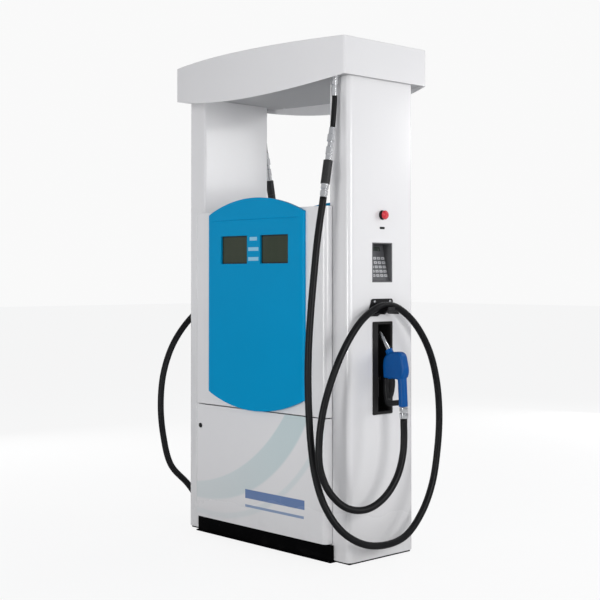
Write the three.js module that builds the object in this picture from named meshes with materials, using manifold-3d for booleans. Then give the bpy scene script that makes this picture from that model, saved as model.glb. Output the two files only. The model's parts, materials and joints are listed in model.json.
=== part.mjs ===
// A two-hose fuel dispenser. Two hollow pillars carry a bowed header, a cabinet of pumping gear
// stands between them, and the outer face of each pillar is a nozzle station.
// Millimetres, +Z up, origin on the floor under the middle. The front looks along -Y.
// What is on the front and on the right is made once, and turned half a turn for the rear and left.
import * as THREE from 'three';
import { mergeVertices } from 'three/addons/utils/BufferGeometryUtils.js';
import Module from 'manifold-3d';

const wasm = await Module();
wasm.setup();

// ---------------------------------------------------------------- sizes: the whole machine
const height = 2300;              // floor to header top
const width = 1130;               // over the outer faces of the pillars
const depth = 420;                // pillars, front to back
const touch = 0.3;                // between pieces that touch
const running = 0.5;              // round a piece that turns or slides
const sheet = 2.5;                // steel covers
const outerX = width / 2;
const outerY = depth / 2;

// pillars
const pillarWidth = 125;
const pillarCorner = 25;
const pillarInnerCorner = 12;
const pillarFoot = 10;            // floor to lower edge
const innerX = outerX - pillarWidth;

// header
const headerFall = 166;           // top to lower edge at the ends
const headerOverhangX = 29;       // past the pillars, sideways
const headerOverhangY = 58;       // past the pillars, at its corners
const headerBow = 83;             // swell of the front past its corners
const headerDip = 57;             // sag of the lower edge at mid length
const headerCorner = 15;
const headerSheet = 4;
const soffitRise = 3;             // soffit above the lower edge at the ends
const headerEdgeZ = height - headerFall;
const soffitZ = headerEdgeZ + soffitRise;

// base frame
const baseHeight = 75;
const baseLap = 32;               // wider than the cabinet opening, each side
const kickOut = 12;               // kick plate, in front of the pillars
const flangeOut = 24;             // floor flange, in front of the pillars
const footPlate = 6;
const baseWall = 8;
const ledge = 60;                 // inward ledge that carries the cabinet
const footInset = 12;             // floor plate inside the pillar covers
const inletX = [8, 112];          // pipe inlet, between the pump and the motor
const inletHalfY = 100;

// cabinet covers
const cabinetTopZ = 1568;
const seamZ = 632;
const seamHalf = 2.5;
const doorFootZ = 81;
const panelLap = 22;              // onto the pillars, each side
const panelCorner = 26;
const panelStandoff = 3;          // in front of the pillars
const panelDepth = 41;
const panelX = innerX + panelLap;
const panelBackY = outerY + panelStandoff;
const panelFaceY = panelBackY + panelDepth;
const lidSheet = 3;
const shelfSheet = 4;
const shelfZ = seamZ + 12;

// dial panel and its windows
const dialX = 337;
const dialThick = 18;
const dialFootZ = seamZ - 2;      // the arched foot just clears the door
const dialFootRise = 73;          // arch of the foot
const dialCrownRise = 74;         // arch of the crown
const dialCrownZ = cabinetTopZ + 56;
const dialLowShoulderZ = dialFootZ + dialFootRise;
const dialHighShoulderZ = dialCrownZ - dialCrownRise;
const windowWide = 192;
const windowTall = 132;
const windowInsideX = 46;         // from mid panel to the window
const windowFootZ = cabinetTopZ - 252;
const windowCorner = 4;
const windowSunk = 10;
const dialRollWide = 38;          // its upright edges roll back over this width
const dialRollDeep = 7;
const creaseZ = cabinetTopZ - 45; // a fine groove across, under the crown
const creaseHalf = 1.2;
const creaseDeep = 2;

// door lock
const lockX = panelX - 48;
const lockZ = seamZ - 106;
const lockBarrel = 9;
const lockHead = 11.5;
const lockHeadThick = 3;
const lockReach = 24;
const camLong = 28;
const camWide = 12;
const camThick = 4;

// emergency stop
const stopZ = 1531;
const stopHead = 20;
const stopHeadThick = 13;
const stopStem = 9;
const stopCollar = 21.5;
const stopCollarThick = 9;
const stopTravel = 5;
const stopBarrelWall = 2.5;
const stopBarrelLong = 20;

// keypad
const padFootZ = 1230;
const padTall = 177;
const padHalf = 65;
const padLip = 1.5;
const padWall = 2.5;
const padDeepTop = 58;
const padDeepFoot = 16;
const sunk = 0.1;                 // a raised pad starts this far inside what carries it
const matThick = 3;
const matMargin = 4;
const keyRows = 5;
const keyColumns = 4;
const keyWide = 20;
const keyTall = 12;
const keyPitchY = 26;
const keyPitchZ = 20;
const keyRise = 2;
const keyFirstRow = 22;           // foot of the mat to the middle of the lowest keys
const readoutWide = 74;
const readoutTall = 26;
const readoutRise = 1.2;

// hose hanger
const hangerY = -4;               // middle of the plate and its saddle
const hangerTopHalf = 71;
const hangerFootHalf = 83;
const hangerFootZ = 1079;
const hangerNotch = [-30, 4, 16]; // its foot ends here, and climbs to this place and this height
const hangerFarZ = 1103;          // foot of the plate on its far side
const hangerShoulder = 34;        // height of the wide foot, under the drawn-in top
const hangerTall = 78;
const hangerPlate = 4;
const hangerCorner = 15;
const saddleHalf = 48;
const saddleTopZ = 1111;
const saddleFootZ = 1093;
const saddleReach = 62;
const saddleSheet = 6;
const lipThick = 6;
const lipTopZ = 1121;
const lipHalf = 22;
const lipCorner = 6;

// nozzle boot
const bootHalf = 64;
const bootFootZ = 642;
const bootTall = 413;
const bootFlange = 4;
const bootRim = 9;                // flange round the pocket
const bootWideRim = 30;           // flange on the side the hand comes from
const bootWall = 3;
const bootDeep = 82;
const bootCorner = 6;
const flapPinZ = bootFootZ + 158;
const flapPinBack = 36;           // pin axis behind the pillar's face
const flapPin = 3;
const flapHalf = 13;
const flapThick = 4;
const flapLong = 84;
const earThick = 4;
const earHalfTall = 9;

// nozzle, in the plane y = 0: x from the pillar's face, z from the boot's top
const bootTopZ = bootFootZ + bootTall;
const spoutRadius = 10.3;
const spoutBore = 8.3;
const spoutBoreDeep = 24;
const spoutTaper = 30;            // its end is drawn in by 1 mm over this length
const spoutFoot = [38, -125];     // where it leaves its collar
const spoutTip = [-16, -50];
const collarRadius = 17;
const collarDeep = 62;            // of the collar, inside and outside the body
const bodyHalf = 22;
const bodyBevel = 9;
const bodyOutline = [[23, -249], [19, -197], [21, -150, 47, -141], [75, -129, 103, -130],
  [127, -131, 134, -155], [144, -199], [147, -229, 137, -243], [115, -255, 90, -251]];
const gripTop = [118, -225];
const gripFoot = [126, -371];
const gripRadius = 20;
const gripHeel = 4;               // height of the rounded lower end
const guardHalf = 11;
const guardOutline = [[17, -250.5], [11, -315, 21, -353], [27, -375, 51, -373], [105, -366],
  [104, -341], [58, -348], [40, -350, 36, -335], [27, -300, 32, -250.5]];
const leverHalf = 9;
const leverPivot = [57, -243];
const leverOutline = [[49, -237], [52, -290, 46, -338], [54, -339], [80, -282, 65, -237]];
const leverPin = 4;
const leverEar = [9, 6];          // half width and thickness of the ears on the body
const leverEarRise = 24;          // above the pivot
const leverSlotHalf = 20;
const leverSlotZ = [-20, 16];     // below and above the pivot
const swivelX = 128;
const swivelSteps = [[17, -422], [19.5, -419], [19.5, -400], [16, -398], [16, -392], [18, -390], [18, -373]];

// hose run
const hoseRadius = 15.5;
const whipRadius = 11.5;
const outletFrom = [outerX - 60, -outerY - 30];   // under the header
const outletLong = 87;
const outletSteps = [[24, 0], [24, 8], [17, 9], [17, 40], [12, 42], [12, 48], [14, 50]];   // from the soffit
const couplingSteps = [[14, 0], [14, 30], [17, 32], [17, 62], [12, 66], [12, 84], [16, 88], [16, 120],
  [14, 124], [14, 146], [20.5, 148]];
const connectorSteps = [[20.5, 0], [20.5, 30], [17, 31], [17, 52], [14, 54], [14, 60], [17, 62], [17, 80],
  [15, 82], [15, 86], [16, 88]];

// pumping gear
const pumpPulley = 110;
const motorPulley = 50;
const pulleyThick = 26;
const pulleyY = 150;
const beltThick = 9;
const beltWide = 18;
const pumpAxis = [-110, 330];
const motorAxis = [210, 250];
const shaft = 12;
const shaftLong = 30;
const casingGap = 12;             // between a casing and its pulley
const pumpWide = 240;
const pumpTall = 300;
const pumpDeep = 230;
const pumpFoot = [40, 50];        // width and height
const pumpFootInset = 20;
const domeRadius = 45;
const domeRise = 10;
const domeBack = 160;             // behind the front of the casing
const motorRadius = 95;
const motorLong = 250;
const motorFootX = 70;
const motorFootHalf = 15;
const motorFootInset = 30;
const terminalHalf = 45;
const terminalInset = 60;
const terminalRise = 35;          // above the barrel
const meterSteps = [[50, -150], [70, -130], [70, -50], [55, -46], [55, 0]];    // from the shelf
const meterX = 260;
const meterY = -70;

// ---------------------------------------------------------------- making solids
function solid(geometry) {
  const plain = geometry.clone();
  plain.deleteAttribute('normal');
  plain.deleteAttribute('uv');
  const merged = mergeVertices(plain, 1e-3);
  const faces = [];
  const { array } = merged.index;
  for (let i = 0; i < array.length; i += 3) {
    const [a, b, c] = [array[i], array[i + 1], array[i + 2]];
    if (a !== b && b !== c && c !== a) faces.push(a, b, c);
  }
  const mesh = new wasm.Mesh({
    numProp: 3,
    vertProperties: new Float32Array(merged.attributes.position.array),
    triVerts: new Uint32Array(faces),
  });
  return new wasm.Manifold(mesh);
}

function geometryOf(shape) {
  const { vertProperties, triVerts } = shape.getMesh();
  const geometry = new THREE.BufferGeometry();
  geometry.setAttribute('position', new THREE.BufferAttribute(vertProperties, 3));
  geometry.setIndex(new THREE.BufferAttribute(triVerts, 1));
  geometry.computeVertexNormals();
  return geometry;
}

const join = (first, ...rest) => rest.reduce((all, one) => all.add(one), first);
const cut = (first, ...rest) => rest.reduce((all, one) => all.subtract(one), first);

// A shape in X-Y raised from z0 to z1.
function upright(shape, z0, z1, curveSegments = 6) {
  const g = new THREE.ExtrudeGeometry(shape, { depth: z1 - z0, bevelEnabled: false, curveSegments });
  return solid(g.translate(0, 0, z0));
}

// A shape in X-Z running from y0 to y1.
function crosswise(shape, y0, y1, curveSegments = 6) {
  const g = new THREE.ExtrudeGeometry(shape, { depth: y1 - y0, bevelEnabled: false, curveSegments });
  return solid(g.rotateX(Math.PI / 2).translate(0, y1, 0));
}

// A shape in Y-Z running from x0 to x1.
function sideways(shape, x0, x1, curveSegments = 6) {
  const g = new THREE.ExtrudeGeometry(shape, { depth: x1 - x0, bevelEnabled: false, curveSegments });
  return solid(g.rotateX(Math.PI / 2).rotateZ(Math.PI / 2).translate(x0, 0, 0));
}

function block(x0, x1, y0, y1, z0, z1) {
  const g = new THREE.BoxGeometry(x1 - x0, y1 - y0, z1 - z0);
  return solid(g.translate((x0 + x1) / 2, (y0 + y1) / 2, (z0 + z1) / 2));
}

// A profile of [radius, height] pairs turned about Z, counted up the outside.
function turned(profile, segments = 28) {
  const points = profile.map(([r, h]) => new THREE.Vector2(r, h));
  return new THREE.LatheGeometry(points, segments).rotateX(Math.PI / 2);
}

// A turned piece with its axis laid from one place towards another.
function turnedAlong(profile, from, to, segments = 28) {
  const start = new THREE.Vector3(...from);
  const way = new THREE.Vector3(...to).sub(start).normalize();
  const turn = new THREE.Quaternion().setFromUnitVectors(new THREE.Vector3(0, 0, 1), way);
  const g = turned(profile, segments).applyQuaternion(turn).translate(...from);
  return g;
}

const rod = (radius, long) => [[0, 0], [radius, 0], [radius, long], [0, long]];

// A closed profile that starts a clearance into its steps, and carries the last one on to its end.
function stepped(steps, end, clearance = touch) {
  const [[radius, start], ...rest] = steps;
  return [[0, start + clearance], [radius, start + clearance], ...rest, [steps.at(-1)[0], end - clearance],
    [0, end - clearance]];
}

function distance(from, to) {
  return new THREE.Vector3(...from).distanceTo(new THREE.Vector3(...to));
}

function rectangle(x0, x1, y0, y1, r = 0) {
  const shape = new THREE.Shape();
  if (r <= 0) {
    shape.moveTo(x0, y0).lineTo(x1, y0).lineTo(x1, y1).lineTo(x0, y1);
    return shape;
  }
  shape.absarc(x1 - r, y0 + r, r, -Math.PI / 2, 0);
  shape.absarc(x1 - r, y1 - r, r, 0, Math.PI / 2);
  shape.absarc(x0 + r, y1 - r, r, Math.PI / 2, Math.PI);
  shape.absarc(x0 + r, y0 + r, r, Math.PI, Math.PI * 1.5);
  return shape;
}

// A closed shape from steps: [a, b] is a straight edge to there, [p, q, a, b] a curve pulled towards p, q.
function outline([start, ...steps]) {
  const shape = new THREE.Shape();
  shape.moveTo(...start);
  steps.forEach((step) => (step.length === 2 ? shape.lineTo(...step) : shape.quadraticCurveTo(...step)));
  return shape;
}

const sorted = (a, b) => (a < b ? [a, b] : [b, a]);

// A plain tube along a smooth line through the points.
function tube(points, radius, sides, steps) {
  const path = new THREE.CatmullRomCurve3(points.map((p) => new THREE.Vector3(...p)), false, 'centripetal');
  const section = new THREE.Shape();
  for (let i = 0; i < sides; i += 1) {
    const angle = (2 * Math.PI * i) / sides;
    const [x, y] = [radius * Math.cos(angle), radius * Math.sin(angle)];
    if (i === 0) section.moveTo(x, y);
    else section.lineTo(x, y);
  }
  return new THREE.ExtrudeGeometry(section, { steps, extrudePath: path, bevelEnabled: false });
}

// ---------------------------------------------------------------- colours
const paint = (color, roughness, metalness = 0) =>
  new THREE.MeshStandardMaterial({ color, roughness, metalness });
const white = () => paint('#dcdde0', 0.28);
const shadeGrey = () => paint('#6d6e70', 0.6);
const black = () => paint('#18191b', 0.6);
const rubber = () => paint('#1b1b1d', 0.75);
const blue = () => paint('#0a86bf', 0.35);
const nozzleBlue = () => paint('#0c57a8', 0.45);
const red = () => paint('#c8202b', 0.35);
const chrome = () => paint('#c9ccd0', 0.18, 1);
const glass = () => paint('#4b5041', 0.15);
const keyGrey = () => paint('#8d9196', 0.5);
const padGrey = () => paint('#55565a', 0.55);
const castIron = () => paint('#4a4f55', 0.7, 0.5);
const motorPaint = () => paint('#3d5a74', 0.5);

const machine = new THREE.Group();

function piece(name, shape, material, group = machine) {
  const geometry = shape.isBufferGeometry ? shape : geometryOf(shape);
  const mesh = new THREE.Mesh(geometry, material);
  mesh.name = name;
  group.add(mesh);
}

// ---------------------------------------------------------------- header
// The plan has straight ends and swollen front and rear edges, all drawn in by the inset.
function headerPlan(inset) {
  const fullX = outerX + headerOverhangX;
  const cornerY = outerY + headerOverhangY;
  const sweep = (fullX ** 2 + headerBow ** 2) / (2 * headerBow);
  const centreY = sweep - cornerY - headerBow;
  const r = headerCorner - inset;
  const reach = sweep - inset;
  const cx = fullX - inset - r;
  const cy = centreY - Math.sqrt((reach - r) ** 2 - cx ** 2);
  const a = Math.atan2(cy - centreY, cx);
  const shape = new THREE.Shape();
  shape.absarc(0, centreY, reach, -Math.PI - a, a);
  shape.absarc(cx, cy, r, a, 0);
  shape.absarc(cx, -cy, r, 0, -a);
  shape.absarc(0, -centreY, reach, -a, Math.PI + a);
  shape.absarc(-cx, -cy, r, Math.PI + a, Math.PI);
  shape.absarc(-cx, cy, r, -Math.PI, -Math.PI - a);
  return shape;
}

function makeHeader() {
  const halfX = outerX + headerOverhangX;
  const lowest = headerEdgeZ - headerDip;
  const farY = outerY + headerOverhangY + headerBow;
  const aboveEdge = outline([[-halfX, headerEdgeZ], [0, headerEdgeZ - 2 * headerDip, halfX, headerEdgeZ],
    [halfX, height], [-halfX, height]]);
  const full = upright(headerPlan(0), lowest, height, 10);
  const hollow = upright(headerPlan(headerSheet), lowest - 1, height - headerSheet, 10);
  const edged = full.intersect(crosswise(aboveEdge, -farY, farY, 24));
  piece('header_shell', cut(edged, hollow), white());
  const plate = upright(headerPlan(headerSheet + touch), soffitZ, soffitZ + lidSheet, 10);
  piece('header_soffit', plate, shadeGrey());
}

// ---------------------------------------------------------------- base frame and shelves
function makeBase() {
  const flangeX = innerX + baseLap;
  const kickY = outerY + kickOut;
  const plate = join(
    block(-outerX + footInset, outerX - footInset, -outerY + footInset, outerY - footInset, 0, footPlate),
    block(-flangeX, flangeX, -outerY - flangeOut, outerY + flangeOut, 0, footPlate),
  );
  const hole = block(...inletX, -inletHalfY, inletHalfY, -1, footPlate + 1);
  const rails = [-1, 1].map((way) => {
    const inner = innerX - touch;
    return join(
      block(-flangeX, flangeX, ...sorted(way * kickY, way * (kickY - baseWall)), 0, baseHeight),
      block(-inner, inner, ...sorted(way * kickY, way * (kickY - ledge)), baseHeight - baseWall, baseHeight),
    );
  });
  const beams = [-1, 1].map((way) => {
    const ends = sorted(way * (innerX - touch), way * (innerX - baseWall));
    return block(...ends, -kickY, kickY, 0, baseHeight);
  });
  piece('base_frame', join(cut(plate, hole), ...rails, ...beams), black());
}

function makeShelves() {
  const x = innerX - touch;
  const y = outerY - touch;
  piece('vapour_shelf', block(-x, x, -y, y, shelfZ, shelfZ + shelfSheet), shadeGrey());
  const lidY = panelBackY - touch;
  piece('cabinet_top', block(-x, x, -lidY, lidY, cabinetTopZ - lidSheet, cabinetTopZ), white());
}

// ---------------------------------------------------------------- pillars
function pillarPlan(inset) {
  const [x0, x1, y] = [innerX + inset, outerX - inset, outerY - inset];
  const [r, q] = [pillarCorner - inset, pillarInnerCorner - inset];
  const shape = new THREE.Shape();
  shape.absarc(x1 - r, -y + r, r, -Math.PI / 2, 0);
  shape.absarc(x1 - r, y - r, r, 0, Math.PI / 2);
  shape.absarc(x0 + q, y - q, q, Math.PI / 2, Math.PI);
  shape.absarc(x0 + q, -y + q, q, Math.PI, Math.PI * 1.5);
  return shape;
}

const bootPocketY = [-bootHalf + bootWideRim, bootHalf - bootRim];
const bootPocketZ = [bootFootZ + bootRim, bootFootZ + bootTall - bootRim];

function makePillar(side, group) {
  const top = soffitZ - touch;
  const shell = cut(
    upright(pillarPlan(0), pillarFoot, top),
    upright(pillarPlan(sheet), pillarFoot - 1, top + 1),
  );
  const [x0, x1] = [outerX - sheet - 1, outerX + 1];
  const bootHole = block(x0, x1, bootPocketY[0] - running, bootPocketY[1] + running,
    bootPocketZ[0] - running, bootPocketZ[1] + running);
  const padHole = block(x0, x1, -padHalf + padWall - running, padHalf - padWall + running,
    padFootZ + padWall - running, padFootZ + padTall - padWall + running);
  const barrel = stopStem + running + stopBarrelWall + running;
  const stopHole = solid(turnedAlong(rod(barrel, sheet + 2), [x0, 0, stopZ], [x1, 0, stopZ], 24));
  piece(`${side}_pillar`, cut(shell, bootHole, padHole, stopHole), white(), group);
}

// ---------------------------------------------------------------- cabinet covers
// A sheet pan, open at the back, with rolled upright edges.
function pan(z0, z1) {
  const plan = (inset, back) => {
    const [x, y, r] = [panelX - inset, -panelFaceY + inset, panelCorner - inset];
    const shape = new THREE.Shape();
    shape.absarc(-x + r, y + r, r, Math.PI, Math.PI * 1.5);
    shape.absarc(x - r, y + r, r, -Math.PI / 2, 0);
    shape.lineTo(x, back).lineTo(-x, back);
    return shape;
  };
  const outside = upright(plan(0, -panelBackY), z0, z1, 8);
  const inside = upright(plan(sheet, -panelBackY + 1), z0 + sheet, z1 - sheet, 8);
  return cut(outside, inside);
}

function dialShape() {
  const arc = (rise) => (dialX ** 2 + rise ** 2) / (2 * rise);
  const crown = arc(dialCrownZ - dialHighShoulderZ);
  const foot = arc(dialLowShoulderZ - dialFootZ);
  const [c, f] = [Math.asin(dialX / crown), Math.asin(dialX / foot)];
  const shape = new THREE.Shape();
  shape.absarc(0, dialFootZ + foot, foot, -Math.PI / 2 - f, -Math.PI / 2 + f);
  shape.absarc(0, dialCrownZ - crown, crown, Math.PI / 2 - c, Math.PI / 2 + c);
  return shape;
}

function makeLock() {
  const head = [[0, -lockReach], [lockBarrel, -lockReach], [lockBarrel, touch], [lockHead, touch],
    [lockHead, lockHeadThick], [0, lockHeadThick]];
  const at = [-lockX, -panelFaceY, lockZ];
  const barrel = solid(turnedAlong(head, at, [-lockX, -panelFaceY - 1, lockZ], 24));
  const camY = -panelFaceY + lockReach;
  const cam = block(-lockX - camLong, -lockX, camY - camThick, camY,
    lockZ - camWide / 2, lockZ + camWide / 2);
  return join(barrel, cam);
}

function makeFace(side, group) {
  piece(`${side}_upper_panel`, pan(seamZ + seamHalf, cabinetTopZ), white(), group);
  const lockHole = solid(turnedAlong(rod(lockBarrel + running, sheet + 2),
    [-lockX, -panelFaceY + sheet + 1, lockZ], [-lockX, -panelFaceY, lockZ], 24));
  piece(`${side}_lower_door`, cut(pan(doorFootZ, seamZ - seamHalf), lockHole), white(), group);
  piece(`${side}_door_lock`, makeLock(), black(), group);

  const back = -panelFaceY - touch;
  const front = -panelFaceY - dialThick;
  const rolled = outline([[-dialX, back], [-dialX, front + dialRollDeep],
    [-dialX, front, -dialX + dialRollWide, front],
    [dialX - dialRollWide, front], [dialX, front, dialX, front + dialRollDeep], [dialX, back]]);
  const crease = block(-dialX + dialRollWide, dialX - dialRollWide, front - 1, front + creaseDeep,
    creaseZ - creaseHalf, creaseZ + creaseHalf);
  let dial = crosswise(dialShape(), front, back, 16).intersect(upright(rolled, dialFootZ, dialCrownZ, 5));
  dial = cut(dial, crease);
  [-1, 1].forEach((way) => {
    const middle = way * (windowInsideX + windowWide / 2);
    const [x0, x1] = [middle - windowWide / 2, middle + windowWide / 2];
    const z1 = windowFootZ + windowTall;
    dial = cut(dial, crosswise(rectangle(x0, x1, windowFootZ, z1, windowCorner), front - 1, back + 1, 3));
    const pane = rectangle(x0 + touch, x1 - touch, windowFootZ + touch, z1 - touch, windowCorner);
    const name = way < 0 ? 'left' : 'right';
    piece(`${side}_${name}_display`, crosswise(pane, front + windowSunk, back, 3), glass(), group);
  });
  piece(`${side}_dial_panel`, dial, blue(), group);
}

// ---------------------------------------------------------------- emergency stop
function makeStop(side, group) {
  const bore = stopStem + running;
  const barrel = bore + stopBarrelWall;
  const profile = [[bore, -stopBarrelLong], [barrel, -stopBarrelLong], [barrel, touch], [stopCollar, touch],
    [stopCollar, stopCollarThick / 2], [stopCollar - 4, stopCollarThick], [bore, stopCollarThick],
    [bore, -stopBarrelLong]];
  const at = [outerX, 0, stopZ];
  const out = [outerX + 1, 0, stopZ];
  piece(`${side}_stop_collar`, turnedAlong(profile, at, out), black(), group);
  const foot = stopCollarThick + touch + stopTravel;
  const head = foot + stopHeadThick;
  const button = [[0, -stopBarrelLong], [stopStem, -stopBarrelLong], [stopStem, foot], [stopHead - 2, foot],
    [stopHead, foot + 2], [stopHead, foot + 6], [stopHead - 3, head - 2.5], [stopHead - 9, head], [0, head]];
  piece(`${side}_stop_button`, turnedAlong(button, at, out), red(), group);
}

// ---------------------------------------------------------------- keypad
function makeKeypad(side, group) {
  const lip = outerX + padLip;
  const [z0, z1] = [padFootZ, padFootZ + padTall];
  const [backTop, backFoot] = [outerX - padDeepTop, outerX - padDeepFoot];
  const inner = padHalf - padWall;
  const wedge = outline([[backFoot, z0 + padWall], [outerX + touch, z0 + padWall],
    [outerX + touch, z1 - padWall],
    [backTop, z1 - padWall]]);
  const rim = block(outerX + touch, lip, -padHalf, padHalf, z0, z1);
  const tray = crosswise(wedge, -inner, inner);
  const hollow = outline([[backFoot + padWall, z0 + 2 * padWall], [lip + 1, z0 + 2 * padWall],
    [lip + 1, z1 - 2 * padWall], [backTop + padWall, z1 - 2 * padWall]]);
  const inside = crosswise(hollow, -inner + padWall, inner - padWall);
  piece(`${side}_keypad_housing`, cut(join(rim, tray), inside), padGrey(), group);

  // The mat lies on the slanting back wall, its foot nearest the pillar's face.
  const rise = padTall - 4 * padWall;
  const lean = Math.atan2(padDeepTop - padDeepFoot, rise);
  const matTall = rise / Math.cos(lean) - 2 * matMargin - (matThick + keyRise) * Math.tan(lean);
  const matHalf = inner - padWall - matMargin;
  const key = (y, z, wide, tall, out) => block(matThick - sunk, matThick + out, y - wide / 2, y + wide / 2,
    z - tall / 2, z + tall / 2);
  let mat = block(0, matThick, -matHalf, matHalf, 0, matTall);
  for (let row = 0; row < keyRows; row += 1) {
    for (let column = 0; column < keyColumns; column += 1) {
      const y = (column - (keyColumns - 1) / 2) * keyPitchY;
      mat = join(mat, key(y, keyFirstRow + row * keyPitchZ, keyWide, keyTall, keyRise));
    }
  }
  mat = join(mat, key(0, matTall - readoutTall, readoutWide, readoutTall, readoutRise));
  const holder = new THREE.Group();
  holder.rotation.y = -lean;
  holder.position.set(backFoot + padWall + 2 * touch - matMargin * Math.sin(lean), 0,
    z0 + 2 * padWall + matMargin * Math.cos(lean));
  group.add(holder);
  piece(`${side}_keypad_mat`, mat, keyGrey(), holder);
}

// ---------------------------------------------------------------- hose hanger
function makeHanger(side, group) {
  const [x0, x1] = [outerX + touch, outerX + hangerPlate];
  const top = hangerFootZ + hangerTall;
  const shoulder = hangerFootZ + hangerShoulder;
  const [notchFrom, notchTo, notchRise] = hangerNotch;
  const plate = sideways(outline([[-hangerFootHalf, hangerFootZ], [notchFrom, hangerFootZ],
    [notchTo, hangerFootZ + notchRise], [hangerTopHalf, hangerFarZ], [hangerTopHalf, top - hangerCorner],
    [hangerTopHalf, top, hangerTopHalf - hangerCorner, top], [hangerCorner - hangerTopHalf, top],
    [-hangerTopHalf, top, -hangerTopHalf, top - hangerCorner], [-hangerFootHalf, shoulder]]), x0, x1);
  const rise = saddleTopZ - saddleFootZ;
  const radius = (saddleHalf ** 2 + rise ** 2) / (2 * rise);
  const spread = Math.asin(saddleHalf / radius);
  const [from, to] = [Math.PI / 2 - spread, Math.PI / 2 + spread];
  const arch = new THREE.Shape();
  arch.absarc(0, saddleTopZ - radius, radius, from, to);
  arch.absarc(0, saddleTopZ - radius, radius - saddleSheet, to, from, true);
  const end = outerX + saddleReach;
  const saddle = sideways(arch, x0, end, 10);
  const lip = sideways(rectangle(-lipHalf, lipHalf, saddleTopZ - 2 * saddleSheet, lipTopZ, lipCorner),
    end - lipThick, end, 4);
  const hanger = join(plate, saddle, lip).translate(0, hangerY, 0);
  piece(`${side}_hose_hanger`, hanger, black(), group);
}

// ---------------------------------------------------------------- nozzle boot and its flap
function makeBoot(side, group) {
  const [y0, y1] = bootPocketY;
  const [z0, z1] = bootPocketZ;
  const back = outerX - bootDeep;
  const flange = sideways(rectangle(-bootHalf, bootHalf, bootFootZ, bootFootZ + bootTall, bootCorner),
    outerX + touch, outerX + bootFlange);
  const tub = block(back, outerX + touch, y0, y1, z0, z1);
  const hollow = block(back + bootWall, outerX + bootFlange + 1, y0 + bootWall, y1 - bootWall,
    z0 + bootWall, z1 - bootWall);
  const pinX = outerX - flapPinBack;
  const ears = [-1, 1].map((way) => {
    const [near, far] = sorted(way * (flapHalf + running), way * (flapHalf + running + earThick));
    return block(back, pinX + earHalfTall, near, far, flapPinZ - earHalfTall, flapPinZ + earHalfTall);
  });
  const pinLong = 2 * (flapHalf + running + earThick);
  const pinHole = solid(turnedAlong(rod(flapPin + running, pinLong + 2), [pinX, -pinLong / 2 - 1, flapPinZ],
    [pinX, 0, flapPinZ], 20));
  piece(`${side}_nozzle_boot`, cut(join(cut(join(flange, tub), hollow), ...ears), pinHole), black(), group);

  const pin = solid(turnedAlong(rod(flapPin, pinLong), [pinX, -pinLong / 2, flapPinZ],
    [pinX, 0, flapPinZ], 16));
  const knuckle = solid(turnedAlong(rod(flapPin + 2, 2 * flapHalf), [pinX, -flapHalf, flapPinZ],
    [pinX, 0, flapPinZ], 16));
  const plate = block(pinX - flapThick / 2, pinX + flapThick / 2, -flapHalf, flapHalf,
    flapPinZ - flapLong, flapPinZ);
  piece(`${side}_boot_flap`, join(pin, knuckle, plate), shadeGrey(), group);
}

// ---------------------------------------------------------------- nozzle
const inPlane = ([x, z]) => [x, 0, z];

function nozzleBody() {
  const g = new THREE.ExtrudeGeometry(outline(bodyOutline), {
    depth: 2 * (bodyHalf - bodyBevel), curveSegments: 5, bevelEnabled: true, bevelThickness: bodyBevel,
    bevelSize: bodyBevel, bevelOffset: -bodyBevel, bevelSegments: 2,
  });
  return solid(g.rotateX(Math.PI / 2).translate(0, bodyHalf - bodyBevel, 0));
}

function makeNozzle(side, station) {
  const group = new THREE.Group();
  group.position.set(outerX, 0, bootTopZ);
  station.add(group);
  const [foot, tip] = [inPlane(spoutFoot), inPlane(spoutTip)];
  const long = distance(foot, tip);
  const behind = foot.map((value, i) => value - ((tip[i] - value) * collarDeep) / long);
  const collar = solid(turnedAlong(rod(collarRadius, collarDeep), behind, tip, 24));
  const [gripA, gripB] = [inPlane(gripFoot), inPlane(gripTop)];
  const gripLong = distance(gripA, gripB);
  const grip = solid(turnedAlong([[0, 0], [gripRadius - 1, 0], [gripRadius, gripHeel], [gripRadius, gripLong],
    [0, gripLong]], gripA, gripB, 24));
  const [px, pz] = leverPivot;
  const [earHalf, earWide] = leverEar;
  const ears = [-1, 1].map((way) => {
    const [near, far] = sorted(way * (leverHalf + running), way * (leverHalf + running + earWide));
    return block(px - earHalf, px + earHalf, near, far, pz - earHalf, pz + leverEarRise);
  });
  const across = 2 * (leverHalf + running + earWide);
  const along = (radius, length) => solid(turnedAlong(rod(radius, length), [px, -length / 2, pz],
    [px, 0, pz], 16));
  const slot = block(px - leverSlotHalf, px + leverSlotHalf, -leverHalf - running, leverHalf + running,
    pz + leverSlotZ[0], pz + leverSlotZ[1]);
  const pinHole = along(leverPin + running, across + 2);
  const body = cut(join(nozzleBody(), collar, grip, ...ears), slot, pinHole);
  piece(`${side}_nozzle_body`, body, nozzleBlue(), group);

  const spout = turnedAlong([[0, touch], [spoutRadius, touch], [spoutRadius, long - spoutTaper],
    [spoutRadius - 1, long], [spoutBore, long], [spoutBore, long - spoutBoreDeep], [0, long - spoutBoreDeep]],
    foot, tip, 24);
  piece(`${side}_nozzle_spout`, spout, chrome(), group);

  const lever = crosswise(outline(leverOutline), -leverHalf, leverHalf, 8);
  piece(`${side}_nozzle_lever`, join(lever, along(leverPin, across)), black(), group);
  piece(`${side}_nozzle_guard`, crosswise(outline(guardOutline), -guardHalf, guardHalf, 6), black(), group);

  const [, swivelTop] = swivelSteps.at(-1);
  const swivel = turned(stepped(swivelSteps, swivelTop, 0));
  piece(`${side}_nozzle_swivel`, swivel.translate(swivelX, 0, 0), chrome(), group);
}

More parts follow.
